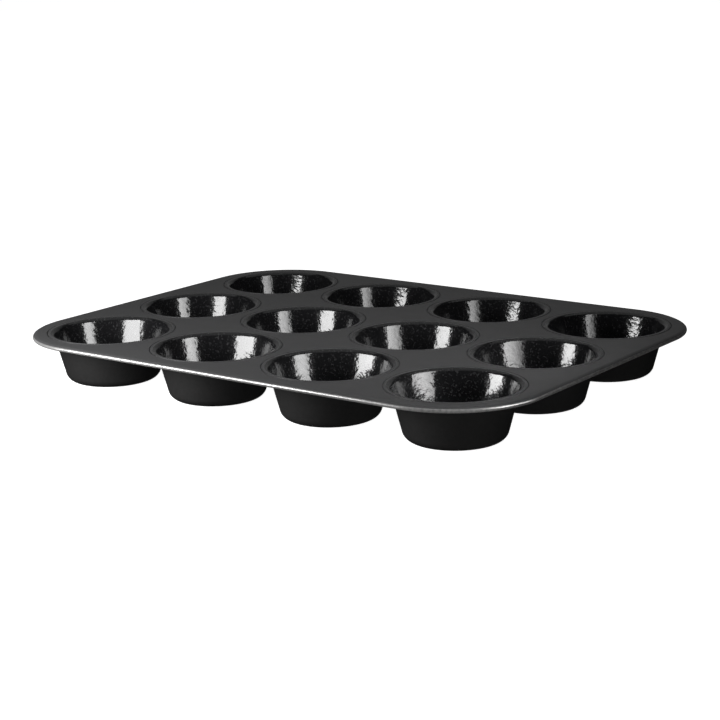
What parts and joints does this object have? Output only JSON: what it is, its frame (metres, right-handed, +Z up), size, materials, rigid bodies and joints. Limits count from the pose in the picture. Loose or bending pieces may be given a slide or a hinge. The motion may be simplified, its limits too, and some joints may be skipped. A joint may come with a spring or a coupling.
{
  "type": "muffin tin",
  "caption": "Shallow baking tin: a flat rounded deck with a wired edge, carrying rows of round tapered cups for muffins.",
  "frame": {"origin": "on the table, under the middle of the tin", "axes": "+X along the long side, +Y along the short side from the front row of cups to the back row, +Z up"},
  "size_m": [0.35, 0.266, 0.03],
  "materials": {
    "deck_coating": "satin non-stick coating, dark grey",
    "cup_coating": "glossy black non-stick coating with a fine hammered speckle inside, satin outside",
    "wire_steel": "drawn wire"
  },
  "bodies": {
    "root": {"deck": "deck_coating", "rim_wire": "wire_steel", "cup_front_1": "cup_coating", "cup_front_2": "cup_coating", "cup_front_3": "cup_coating", "cup_front_4": "cup_coating", "cup_middle_1": "cup_coating", "cup_middle_2": "cup_coating", "cup_middle_3": "cup_coating", "cup_middle_4": "cup_coating", "cup_back_1": "cup_coating", "cup_back_2": "cup_coating", "cup_back_3": "cup_coating", "cup_back_4": "cup_coating"}
  },
  "joints": []
}
